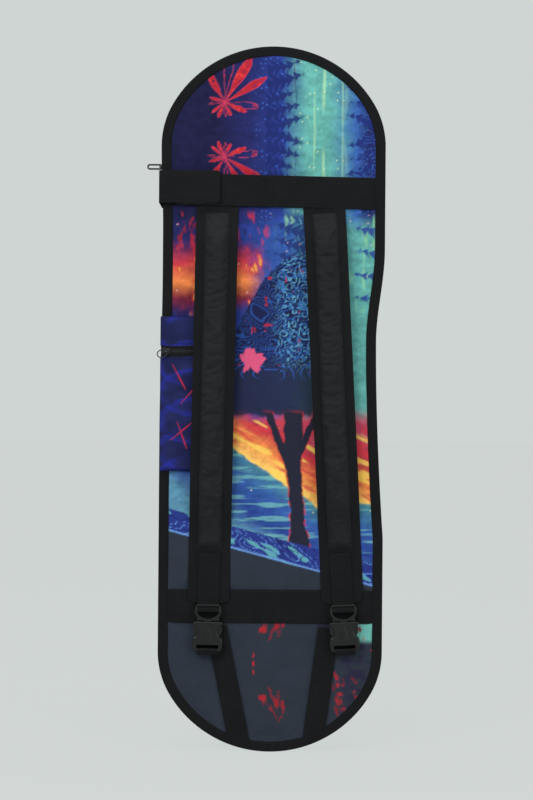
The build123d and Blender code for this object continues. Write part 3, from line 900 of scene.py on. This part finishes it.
def panel(name, front, nodes):
    """A padded printed face of the bag, quilted down along its bound edge."""
    x, up, depth_in = panel_grid(BINDING_W - 1.5 * MM, 5 * MM, 50)
    puff = 1.6 * MM * smooth(0, 22 * MM, depth_in) - 0.8 * MM
    pucker = layered_noise(x / (14 * MM), up / (14 * MM), 3 if front else 8)
    puff = puff + 0.5 * MM * pucker * smooth(30 * MM, 4 * MM, depth_in)
    puff = puff + 0.9 * MM * layered_noise(x / (60 * MM), up / (45 * MM), 5)
    if front:
        for near in pressed(x, up):
            puff = puff * smooth(-2 * MM, 16 * MM, near) - 0.6 * MM * smooth(4 * MM, 0, near)
    out = DEPTH + puff if front else np.maximum(0.2 * MM, 1.4 * MM - puff)
    points = world(x, up, out)
    obj = sheet_of(name, points if front else points[:, ::-1], np.stack([x, up], -1))
    pinned = (depth_in < 6 * MM).ravel()
    if front:
        pinned |= (np.min(pressed(x, up), axis=0) < 0).ravel()
        settle(obj, pinned, 0.004, 0.6, 2.2 * MM)
    subdivide(obj, 2)
    paint(obj, print_colour if front else lambda a, b: print_colour(-a, b))
    finish_piece(obj, "printed_cloth", "bag", nodes)


def binding(name, out, node):
    """A folded tape bound round a panel's edge, with its row of stitches."""
    loop = loop_outline(BINDING_W / 2, 2.5 * MM)
    into = inward(loop)
    wave = layered_noise(np.arange(len(loop)) / 9, np.zeros(len(loop)), 44)
    path = world(loop[:, 0], loop[:, 1], out + 0.25 * MM * wave)
    across = world(into[:, 0], into[:, 1], 0)
    lift = np.broadcast_to(np.array([0.0, -1.0, 0.0]), path.shape)
    section = tape_section(BINDING_W, BINDING_T, 8)
    fold = 1 - 0.18 * smooth(0.2, 0.9, section[:, 0] / (BINDING_W / 2))
    section = section * np.stack([np.ones_like(fold), fold], 1)
    obj = sweep(name, path, across, lift, section, closed=True)
    finish_piece(obj, "binding_tape", "bag", [node])
    seam = loop_outline(BINDING_W - 2.2 * MM, 3 * MM)
    seam = np.r_[seam, seam[:1]]
    for side in (-1, 1):
        line = world(seam[:, 0], seam[:, 1], out + side * (BINDING_T / 2 * 0.84 + 0.1 * MM))
        label = "front" if side > 0 else "rear"
        stitches(f"{name}_stitches_{label}", line, (0, -side, 0), "bag")


def gusset(name, node, out_low, out_high, choose):
    """One strip of the side wall, bowed out a little and creased."""
    step = 3 * MM
    loop = loop_outline(BINDING_W, step)
    keep = choose(loop)
    start = int(np.flatnonzero(keep & ~np.roll(keep, 1))[0])
    count = keep.sum() + 1
    into = np.roll(inward(loop), -start, 0)[:count]
    loop = np.roll(loop, -start, 0)[:count]
    across = np.linspace(out_low, out_high, 14)[None, :]
    along = np.arange(count)[:, None] * step
    slack = np.sin(np.pi * (across - out_low) / (out_high - out_low))
    crease = 0.8 * MM * layered_noise(along / (16 * MM), across / (26 * MM), 12)
    shift = 0.4 * MM - (2.4 * MM + crease) * slack
    x = loop[:, :1] + into[:, :1] * shift
    up = loop[:, 1:] + into[:, 1:] * shift
    obj = sheet_of(name, world(x, up, across), np.stack(np.broadcast_arrays(along, across), -1))
    subdivide(obj, 1)
    finish_piece(obj, "black_cloth", "bag", [node])


def straight_side(sign):
    """A choice of the outline's points on the straight part of the right (1) or left (-1) side."""
    return lambda p: (np.abs(p[:, 1]) <= SPRING) & (sign * p[:, 0] > 0)


def shell():
    """Both panels, their bindings and the side wall."""
    panel("panel_front", True, ["front_panel", "front_foam", "front_lining"])
    panel("panel_rear", False, ["rear_panel", "rear_foam", "rear_lining"])
    binding("binding_front", RIM - BINDING_T / 2, "front_binding")
    binding("binding_rear", BINDING_T / 2, "rear_binding")
    low, high = BINDING_T * 0.6, RIM - BINDING_T * 0.7
    zip_low, zip_high = span("gusset_left_rear")[5], span("gusset_left_front")[4]
    gusset("side_top", "gusset_top", low, high, lambda p: p[:, 1] > SPRING)
    gusset("side_bottom", "gusset_bottom", low, high, lambda p: p[:, 1] < -SPRING)
    gusset("side_right", "gusset_right", low, high, straight_side(1))
    for label, out_low, out_high in (("rear", low, zip_low), ("front", zip_high, high)):
        node = f"gusset_left_{label}"
        gusset(f"side_left_{label}", node, out_low, out_high, straight_side(-1))


# ---------------------------------------------------------------- zips


def coil(name, start, end, side, out_dir, scale, body, node):
    """One side of a coil zip: a row of bent nylon loops along a line."""
    start, end = np.asarray(start, float), np.asarray(end, float)
    along = (end - start) / np.linalg.norm(end - start)
    side, lift = np.asarray(side, float), np.asarray(out_dir, float)
    pitch = 1.5 * MM * scale
    count = int(np.linalg.norm(end - start) / pitch)
    a = np.arange(8) * math.pi / 4
    u = np.linspace(-1, 1, 5)
    r = 0.55 * MM * scale
    reach = 1.35 * MM * scale
    rings = []
    for s in u:
        centre = side * s * reach + lift * (1 - s * s) * 0.5 * MM * scale
        fat = 1 if abs(s) < 1 else 0.5
        ring = np.cos(a)[:, None] * along + np.sin(a)[:, None] * lift
        rings.append(centre + ring * r * fat)
    one = np.concatenate(rings)
    steps = (np.arange(count) + 0.5)[:, None, None] * pitch * along
    points = (start + steps + one[None]).reshape(-1, 3)
    faces = (grid_faces(5, 8, False, True)[None] + np.arange(count)[:, None, None] * 40).reshape(-1, 4)
    obj = add_mesh(name, points, faces)
    return finish_piece(obj, "zip_coil", body, [node] if node else ())


def main_zip():
    """The long zip on the left wall: two tapes and two rows of coil."""
    for label in ("front", "rear"):
        node = f"main_zip_tape_{label}"
        left, right, low, high, rear, front = span(node)
        x = (left + right) / 2
        middle = (rear + front) / 2
        path = world(x, np.linspace(low, high, 160), middle)
        wave = 0.25 * MM * layered_noise(np.arange(160) / 7, np.zeros(160), 51)
        path[:, 0] += wave
        name = f"zip_tape_{label}"
        strip(name, path, OUT, LEFT, front - rear, right - left, "zip_tape", "bag", [node])
    left, right, low, high, rear, front = span("main_zip_coil")
    quarter = (front - rear) / 4
    x = (left + right) / 2
    for k, out in enumerate((rear + quarter * 0.95, front - quarter * 0.95)):
        node = "main_zip_coil" if k == 0 else None
        start, end = world(x, low, out), world(x, high, out)
        coil(f"zip_coil_{k}", start, end, (0, 1, 0), LEFT, 1.0, "bag", node)


# ---------------------------------------------------------------- bands and flap


def band(name, node, out, slope, wave_seed):
    """A webbing band right across the front, sewn down at its edges."""
    _, _, low, high, _, _ = span(node)
    reach = WALL + 3 * MM
    x = np.linspace(-reach, reach, 90)
    x = np.where(x > 0, np.minimum(x, WALL + 3 * MM - waist(low)), x)
    up = (low + high) / 2 + slope * x
    lift = 0.35 * MM * layered_noise(x / (22 * MM), 0 * x, wave_seed)
    tucked = DEPTH - 1.2 * MM - out
    lift = lift + tucked * smooth(WALL - 9 * MM, WALL - 1 * MM, np.abs(x))
    path = world(x, up, out + lift)
    strip(name, path, UP, OUT, high - low, WEB_T, "webbing", "bag", [node])
    for side in (-1, 1):
        edge = up + side * ((high - low) / 2 - 2 * MM)
        line = world(x, edge, out + lift + WEB_T / 2)
        stitches(f"{name}_stitches_{'low' if side < 0 else 'high'}", line, OUT, "bag")


def corner_path(start, corner, end, radius, points=9):
    """A line with one square corner rounded off."""
    start, corner, end = (np.asarray(p, float) for p in (start, corner, end))
    a = (start - corner) / np.linalg.norm(start - corner)
    b = (end - corner) / np.linalg.norm(end - corner)
    t = np.linspace(0, math.pi / 2, points)[:, None]
    bend = corner + radius * (a * (1 - np.sin(t)) + b * (1 - np.cos(t)))
    return resample(np.r_[[start], bend, [end]], 2 * MM)


def closing_flap():
    """The doubled webbing flap that folds round from the side and grips the top band."""
    side_left, side_right, low, high, rear, _ = span("closing_flap_side")
    _, end, _, _, _, front = span("closing_flap_front")
    x, out = (side_left + side_right) / 2, front - FLAP_T / 2
    path = corner_path((x, -rear, 0), (x, -out, 0), (end, -out, 0), 4 * MM)
    tangent = np.gradient(path, axis=0)
    tangent /= np.linalg.norm(tangent, axis=1)[:, None]
    lift = np.cross(tangent, UP)
    middle = (low + high) / 2
    path[:, 2] = middle
    across = np.tile(UP, (len(path), 1))
    obj = sweep("closing_flap", path, across, lift, tape_section(high - low, FLAP_T))
    co = np.array([v.co for v in obj.data.vertices])
    tip = smooth(end - 5 * MM, end, co[:, 0])
    co[:, 2] = middle + (co[:, 2] - middle) * (1 - 0.1 * tip**3)
    obj.data.vertices.foreach_set("co", co.ravel())
    finish_piece(obj, "webbing", None, ["closing_flap_side", "closing_flap_front"])
    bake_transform(obj)
    seams = ((low + 2.5 * MM, None), (high - 2.5 * MM, None), (None, end - 3 * MM))
    for k, (up, at) in enumerate(seams):
        if at is None:
            line = world(np.linspace(x + 9 * MM, end - 3 * MM, 20), up, front)
        else:
            line = world(at, np.linspace(low + 3 * MM, high - 3 * MM, 12), front)
        stitches(f"flap_stitches_{k}", line, OUT, "flap_front")
    for node, body in (("flap_loop_patch", "bag"), ("flap_hook_patch", "flap_front")):
        left, right, foot, top, rear, front = span(node)
        path = world(np.linspace(left, right, 30), (foot + top) / 2, (rear + front) / 2)
        strip(f"{node}_pile", path, UP, OUT, top - foot, front - rear, "hook_and_loop", body, [node])


# ---------------------------------------------------------------- pocket


def pocket_skin(name, low, high, nodes, seed):
    """Part of the pocket's face, rounded over at its outer edges."""
    left, right, foot, top, rear, _ = span("pocket_back")
    front = span("pocket_front")[5]
    x = np.linspace(left, right, 46)[None, :]
    up = np.linspace(low, high, int((high - low) / (1.7 * MM)) + 2)[:, None]
    side = np.minimum(x - left, right - x) + 0 * up
    ends = np.minimum(up - foot, top - up) + 0 * x
    inner = np.minimum(side, ends)
    round_in = np.sqrt(np.clip(1 - (1 - np.clip(inner / (5 * MM), 0, 1)) ** 2, 0, 1))
    body = front - rear - 0.6 * MM
    crease = layered_noise(x / (24 * MM), up / (15 * MM), seed) * smooth(0, 9 * MM, inner)
    out = rear + 0.2 * MM + body * (0.12 + 0.88 * round_in) + 0.5 * MM * (crease - 0.6)
    obj = sheet_of(name, world(x + 0 * up, up + 0 * x, out), np.stack(np.broadcast_arrays(x, up), -1))
    subdivide(obj, 1)
    paint(obj, pocket_colour)
    finish_piece(obj, "printed_cloth", "bag", nodes)
    return front


def pocket():
    """The flat zipped pocket: its face, hood, tape, coil and stitches."""
    left, right, foot, top = span("pocket_back")[:4]
    zip_low, zip_high = span("pocket_zip_tapes")[2:4]
    zip_up = (zip_low + zip_high) / 2
    front = pocket_skin("pocket_face", foot, zip_low + 1 * MM, ["pocket_front", "pocket_walls"], 61)
    pocket_skin("pocket_hood_cloth", zip_high - 1 * MM, top, ["pocket_hood", "pocket_back"], 62)
    x = np.linspace(left + 1 * MM, right, 40)
    for sign in (-1, 1):
        sag = 0.2 * MM * layered_noise(x / (12 * MM), 0 * x, 65)
        path = world(x, zip_up + sign * (zip_high - zip_low) * 0.26, front - 1.1 * MM + sag)
        name = f"pocket_tape_{'low' if sign < 0 else 'high'}"
        nodes = ["pocket_zip_tapes"] if sign < 0 else ()
        strip(name, path, UP, OUT, (zip_high - zip_low) / 2, 0.8 * MM, "zip_tape", "bag", nodes)
    for k, up in enumerate((zip_up - 0.9 * MM, zip_up + 0.9 * MM)):
        node = "pocket_zip_coil" if k == 0 else None
        start, end = world(left + 3 * MM, up, front - 0.7 * MM), world(right - 3 * MM, up, front - 0.7 * MM)
        coil(f"pocket_coil_{k}", start, end, UP, OUT, 0.7, "bag", node)
    for label, up in (("high", zip_high + 2 * MM), ("low", zip_low - 2 * MM)):
        line = world(x, up, front - 0.35 * MM)
        stitches(f"pocket_stitches_{label}", line, OUT, "bag")


# ---------------------------------------------------------------- harness


class StrapPlace:
    """Turns a strap's own (across, down, out) distances into the frame."""

    def __init__(self, side):
        self.x, splay = STRAPS[side]
        self.cos, self.sin = math.cos(math.radians(splay)), math.sin(math.radians(splay))

    def __call__(self, across, down, out):
        """Points on the strap; down runs from its top and out from the front panel."""
        across, down, out = np.broadcast_arrays(across, down, out)
        x = self.x + across * self.cos + down * self.sin
        up = STRAP_TOP + across * self.sin - down * self.cos
        return world(x, up, DEPTH + out)

    def direction(self, across, down):
        """A direction in the strap's plane."""
        return np.array([across * self.cos + down * self.sin, 0, across * self.sin - down * self.cos])


def strap_rear(down):
    """How far the strap's rear surface stands off the panel."""
    lift = smooth(0, RISE_END, down) * smooth(*SINK, down)
    return STRAP_LOW + (STRAP_LIFT - STRAP_LOW) * lift


def corner_trim(across, down):
    """Narrows the strap's grid into round corners at its lower end."""
    r = 8 * MM
    over = np.clip(down - (STRAP_L - r), 0, r)
    keep = STRAP_W / 2 - r + np.sqrt(r * r - over * over)
    return across * keep / (STRAP_W / 2)


def strap_sheet(name, place, low, high, columns, lift, step=2.6 * MM):
    """A surface over part of the strap; lift gives its height over the strap's rear."""
    down = np.linspace(low, high, int((high - low) / step) + 1)[:, None]
    across = np.linspace(-STRAP_W / 2, STRAP_W / 2, columns)[None, :] + 0 * down
    narrowed = corner_trim(across, down)
    out = strap_rear(down) + lift(across, down)
    points = place(narrowed, down, out)
    return sheet_of(name, points, np.stack(np.broadcast_arrays(across, down), -1))


def border_lift(across, down):
    """Height of the strap's plain borders, dipping into the seams beside the pad."""
    edge = np.clip((STRAP_W / 2 - np.abs(across)) / (1.4 * MM), 0, 1)
    seam = smooth(3 * MM, 0, np.abs(np.abs(across) - PAD_HALF - 0.6 * MM))
    ripple = layered_noise(across / (9 * MM), down / (11 * MM), 77)
    under_pad = smooth(PAD_HALF, PAD_HALF - 2 * MM, np.abs(across)) * smooth(PAD_L, PAD_L - 3 * MM, down)
    height = COVER_T + 1.3 * MM * np.sqrt(edge) - 0.7 * MM * seam + 0.25 * MM * ripple
    return height * (1 - 0.6 * under_pad)


def pad(name, side, place):
    """The raised middle of the strap: satin stretched over foam and gathered by its seams."""
    low, high = 2 * MM, PAD_L
    down = np.linspace(low, high, 164)[:, None]
    t = np.linspace(-1, 1, 14)[None, :]
    across = PAD_HALF * t + 0 * down
    dome = np.sqrt(np.clip(1 - np.abs(t) ** 3, 0, 1))
    rise = np.sqrt(smooth(0, 5 * MM, down - low)) * (0.5 + 0.5 * smooth(0, 30 * MM, down - low))
    ends = np.sqrt(smooth(0, 8 * MM, high - down)) * rise
    seed = 83 if side == "left" else 97
    gather = layered_noise(across / (20 * MM) + down / (40 * MM), down / (9 * MM), seed)
    height = COVER_T + 0.4 * MM + (PAD_T - 0.8 * MM) * dome * ends
    height = height + 0.9 * MM * gather * dome * ends
    across, down = np.broadcast_arrays(across, down)
    points = place(across, down, strap_rear(down) + height)
    obj = sheet_of(name, points, np.stack([across, down], -1))
    pinned = (np.abs(t) > 0.99) | (down < low + 1e-6) | (down > high - 1e-6)
    settle(obj, np.broadcast_to(pinned, across.shape).ravel(), 0.06, 1.5, 1.6 * MM)
    subdivide(obj, 2)
    finish_piece(obj, "strap_cloth", None, [f"{side}_strap_foam"])
    return obj


def hang(obj, place):
    """Bakes a strap piece's placement into its mesh; the two points worked out at the strap's top are not
    used.
    """
    start, end = place(0, -4 * MM, 0), place(0, 42 * MM, 0)
    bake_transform(obj)


def loop_path(place, outer, inner, tail, bar, radius):
    """Webbing that comes along one side of a bar, turns round it and goes back on the other."""
    a = np.linspace(math.pi / 2, -math.pi / 2, 9)
    down = bar[0] + radius * np.cos(a)
    out = bar[1] + radius * np.sin(a)
    down = np.r_[tail[0], down, tail[1]]
    out = np.r_[outer, out, inner]
    return resample(place(0, down, out), 1.5 * MM)


def strap_soft(side):
    """One shoulder strap: backing, borders, pad, end patch and their stitches."""
    place = StrapPlace(side)
    body = f"{side}_strap"
    cover = strap_sheet(f"{side}_strap_borders", place, -5 * MM, STRAP_L, 40, border_lift)
    finish_piece(cover, "strap_border", None, [f"{side}_strap_cover"])
    mesh = strap_sheet(f"{side}_strap_back", place, -5 * MM, STRAP_L, 20, lambda across, down: 0.3 * MM)
    mesh.data.flip_normals()
    finish_piece(mesh, "strap_mesh", None, [f"{side}_strap_backing"])
    for obj in (cover, mesh, pad(f"{side}_strap_pad", side, place)):
        hang(obj, place)
    low, high = PATCH_TOP, STRAP_L + 1 * MM
    down = np.linspace(low, high, 40)
    top = strap_rear(down) + 2 * COVER_T + WEB_T / 2
    path = place(0, down, top + 0.3 * MM)
    across = place.direction(1, 0)
    strip(f"{side}_end_patch", path, across, OUT, WEB_W, WEB_T, "webbing", body, [f"{side}_strap_patch"])
    for sign in (-1, 1):
        line = place(sign * (WEB_W / 2 - 2 * MM), down[:-6], top[:-6] + 1.1 * MM)
        stitches(f"{side}_patch_stitches_{'l' if sign < 0 else 'r'}", line, OUT, body)
        edge = np.linspace(30 * MM, STRAP_L - 9 * MM, 160)
        line = place(sign * (STRAP_W / 2 - 2.5 * MM), edge, strap_rear(edge) + 2 * COVER_T + 0.2 * MM)
        stitches(f"{side}_edge_stitches_{'l' if sign < 0 else 'r'}", line, OUT, body)
    line = place(np.linspace(-WEB_W / 2, WEB_W / 2, 12), low + 2 * MM, top[0] + 1.1 * MM)
    stitches(f"{side}_patch_stitches_top", line, OUT, body)


def anchor(side):
    """The cloth tab that carries the strap's top under the band."""
    place = StrapPlace(side)
    node = f"{side}_strap_anchor"
    rear, front = span(node)[4:]
    path = place(0, np.linspace(-36 * MM, -1 * MM, 20), (front - rear) / 2)
    across = place.direction(1, 0)
    strip(f"{side}_anchor_tab", path, across, OUT, STRAP_W, front - rear, "strap_border", "bag", [node])


def loops(side):
    """Webbing turned round the bar of each half of the buckle."""
    place = StrapPlace(side)
    across = place.direction(1, 0)
    gap = STRAP_L + 0.8 * MM
    for label, body, bar_down, bar_half, front_tail, rear_tail in (
        ("male", f"{side}_buckle_male", gap + 7.05 * MM, 2.1 * MM, 7 * MM, 9 * MM),
        ("female", f"{side}_strap", gap + 54.2 * MM, 5.6 * MM, 1 * MM, 9 * MM),
    ):
        start = BUCKLE_MID + (bar_half if label == "female" else -0.8 * MM)
        tails = (bar_down - front_tail, bar_down - rear_tail)
        path = loop_path(place, start, BUCKLE_MID - bar_half, tails, (bar_down, BUCKLE_MID), bar_half)
        tangent = np.gradient(path, axis=0)
        tangent /= np.linalg.norm(tangent, axis=1)[:, None]
        lift = np.cross(across, tangent)
        node = f"{side}_{label}_loop"
        strip(f"{side}_{label}_turn", path, across, lift, LOOP_W, LOOP_T, "webbing", body, [node])


def seam_crossing(foot, top):
    """Where a line from top to foot meets the bottom binding's middle, and the binding's direction there."""
    edge = loop_outline(BINDING_W / 2, 2 * MM)
    edge = edge[edge[:, 1] < foot[1] + SHOULDER / 2]
    run = (top - foot) / np.linalg.norm(top - foot)
    off = np.abs((edge - foot) @ (run[1], -run[0]))
    nearest = 1 + np.argmin(off[1:-1])
    along = edge[nearest + 1] - edge[nearest - 1]
    return edge[nearest], along / np.linalg.norm(along)


def lower_webbing(side):
    """Webbing from under the bottom binding up behind the buckle, its foot cut along the binding."""
    node = f"{side}_lower_webbing"
    foot, top = webbing_line(side)
    foot, seam = seam_crossing(foot, top)
    length = np.linalg.norm(top - foot)
    s = np.linspace(0, length, 64)
    x, up = (foot + (top - foot) * s[:, None] / length).T
    out = DEPTH + WEB_T / 2 + 0.6 * MM * smooth(0, 0.2 * length, s)
    out = out + 1.4 * MM * smooth(0.75 * length, length, s)
    out = out - 2.6 * MM * smooth(0.6 * BINDING_W, 0.1 * BINDING_W, s)
    path = world(x, up, out)
    run = path[-1] - path[0]
    run /= np.linalg.norm(run)
    across = np.cross(OUT, run)
    obj = strip(f"{side}_lower_web", path, across, OUT, WEB_W, WEB_T, "webbing", None, [node])
    seam = world(*seam, 0)
    slant = (seam @ run) / (seam @ across)
    for vertex in obj.data.vertices:
        away = np.array(vertex.co) - path[0]
        push = (away @ across) * slant * smooth(4 * WEB_W, 0, away @ run)
        vertex.co += Vector(run * push)
    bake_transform(obj)


def harness():
    """Both straps with their anchors, loops and lower webbings."""
    for side in STRAPS:
        anchor(side)
        strap_soft(side)
        loops(side)
        lower_webbing(side)


# ---------------------------------------------------------------- hard parts and studio


def hard_parts():
    """The CAD buckles, sliders and pulls take their finishes."""
    for name, obj in frame["nodes"].items():
        if obj.hide_render:
            continue
        plastic = "buckle" in name or "prong" in name
        material = "buckle_plastic" if plastic else "black_metal"
        obj.data.materials.clear()
        obj.data.materials.append(MATERIALS[material])


def studio():
    """A plain pale room: background, floor and large soft lights."""
    scene = bpy.context.scene
    scene.view_settings.view_transform = "Standard"
    world_data = bpy.data.worlds.new("studio")
    scene.world = world_data
    world_data.use_nodes = True
    nodes, links = world_data.node_tree.nodes, world_data.node_tree.links
    seen = nodes["Background"]
    seen.inputs[0].default_value = (*BACKGROUND, 1)
    lit = nodes.new("ShaderNodeBackground")
    lit.inputs[0].default_value = (1, 1, 1, 1)
    lit.inputs[1].default_value = 0.55
    choice, path = nodes.new("ShaderNodeMixShader"), nodes.new("ShaderNodeLightPath")
    links.new(path.outputs["Is Camera Ray"], choice.inputs[0])
    links.new(lit.outputs[0], choice.inputs[1])
    links.new(seen.outputs[0], choice.inputs[2])
    links.new(choice.outputs[0], nodes["World Output"].inputs[0])
    floor_material()
    for name, place, energy, size in (
        ("key", (-1.4, -2.6, 1.6), 42, 1.6),
        ("fill", (1.8, -2.4, 0.3), 22, 1.8),
        ("top", (0.2, -0.6, 2.2), 14, 1.4),
        ("glint", (-0.5, -1.6, 0.9), 3, 0.2),
    ):
        light = bpy.data.lights.new(name, "AREA")
        light.energy, light.size = energy, size
        obj = bpy.data.objects.new(name, light)
        obj.location = place
        obj.rotation_euler = (-Vector(place)).to_track_quat("-Z", "Y").to_euler()
        scene.collection.objects.link(obj)


def floor_material():
    """A pale floor under the bag, in the background's own colour."""
    t = Tree("floor")
    t.set(Base_Color=(0.05, 0.05, 0.05, 1), Roughness=1.0, Specular_IOR_Level=0.0)
    t.set(Emission_Color=(*BACKGROUND, 1), Emission_Strength=0.945)
    reach = 20.0
    corners = [(x * reach, y * reach, -TOP) for x, y in ((-1, -1), (1, -1), (1, 1), (-1, 1))]
    floor = add_mesh("floor", corners, [(0, 1, 2, 3)])
    floor.data.materials.append(t.material)


def camera():
    """The camera straight in front of the bag."""
    data = bpy.data.cameras.new("camera")
    data.lens = LENS
    distance = VIEW_HEIGHT / 2 / (data.sensor_width / 2 / LENS)
    obj = bpy.data.objects.new("camera", data)
    obj.location = (AIM_X, -RIM - distance, AIM_UP)
    obj.rotation_euler = (math.radians(90), math.radians(ROLL), 0)
    bpy.context.scene.collection.objects.link(obj)
    bpy.context.scene.camera = obj


shell()
main_zip()
band("band_top", "top_band", (BAND_REAR + BAND_FRONT) / 2, BAND_SLOPE, 21)
band("band_low", "lower_band", LOWER_FRONT - WEB_T / 2, 0, 22)
closing_flap()
pocket()
harness()
hard_parts()
studio()
camera()
